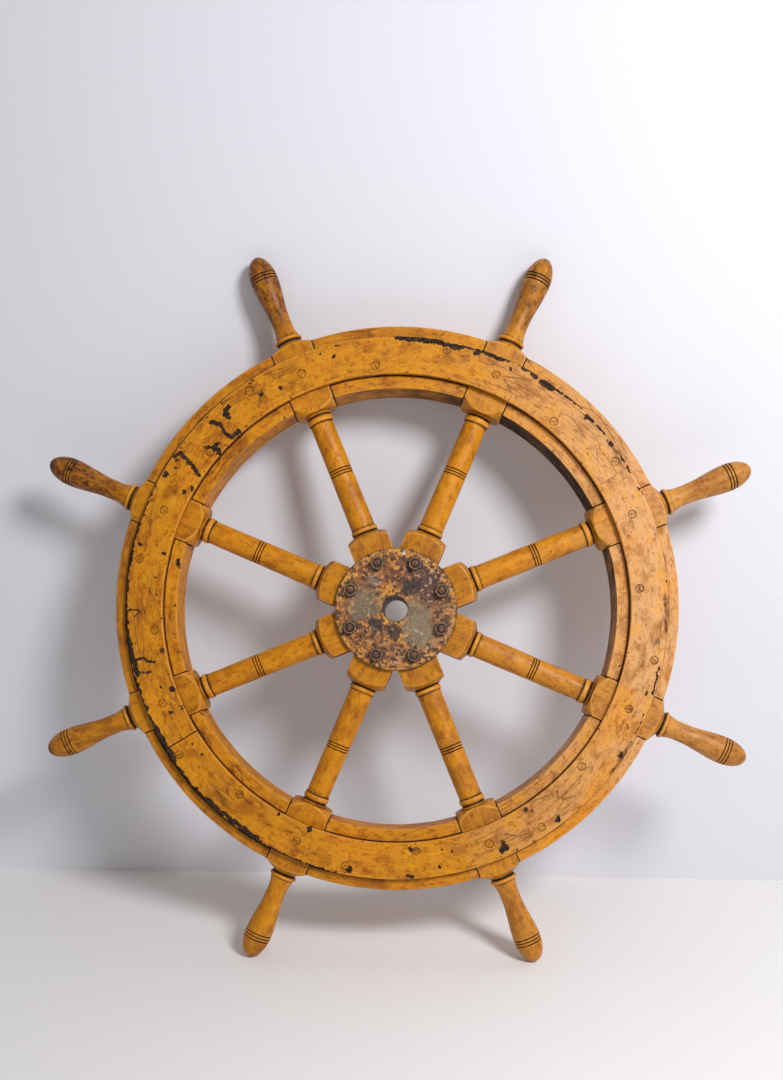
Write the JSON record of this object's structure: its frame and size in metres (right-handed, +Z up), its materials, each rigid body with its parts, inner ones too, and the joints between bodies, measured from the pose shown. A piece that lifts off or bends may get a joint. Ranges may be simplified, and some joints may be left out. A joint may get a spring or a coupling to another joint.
{
  "type": "ship's wheel",
  "caption": "Wooden ship's steering wheel with turned spokes that run out into handles, a built-up rim and bolted iron hub plates with a plain shaft bore.",
  "frame": {"origin": "centre of the shaft bore, halfway through the hub", "axes": "+Y along the bore from the front (helmsman's) face to the back, +Z up in the wheel's plane, +X to the right seen from the front"},
  "size_m": [1.1288, 0.1025, 1.1288],
  "materials": {
    "turned_wood": "old ochre oil paint, worn",
    "rim_wood": "old ochre oil paint, worn",
    "facing_wood": "old ochre oil paint, chipped to a dark undercoat",
    "after_wood": "old ochre oil paint, worn",
    "hub_iron": "rusted, with remnants of ochre paint",
    "bolt_iron": "rusted",
    "screw_iron": "painted over"
  },
  "bodies": {
    "root": {"spoke_1": "turned_wood", "spoke_2": "turned_wood", "spoke_3": "turned_wood", "spoke_4": "turned_wood", "spoke_5": "turned_wood", "spoke_6": "turned_wood", "spoke_7": "turned_wood", "spoke_8": "turned_wood", "middle_felloe_1": "rim_wood", "middle_felloe_2": "rim_wood", "middle_felloe_3": "rim_wood", "middle_felloe_4": "rim_wood", "middle_felloe_5": "rim_wood", "middle_felloe_6": "rim_wood", "middle_felloe_7": "rim_wood", "middle_felloe_8": "rim_wood", "facing_felloe_1": "facing_wood", "facing_felloe_2": "facing_wood", "facing_felloe_3": "facing_wood", "facing_felloe_4": "facing_wood", "after_felloe_1": "after_wood", "after_felloe_2": "after_wood", "after_felloe_3": "after_wood", "after_felloe_4": "after_wood", "front_hub_plate": "hub_iron", "rear_hub_plate": "hub_iron", "hub_bush": "hub_iron", "hub_bolts": "bolt_iron", "hub_nuts": "bolt_iron", "front_rim_screws": "screw_iron", "rear_rim_screws": "screw_iron"}
  },
  "joints": []
}
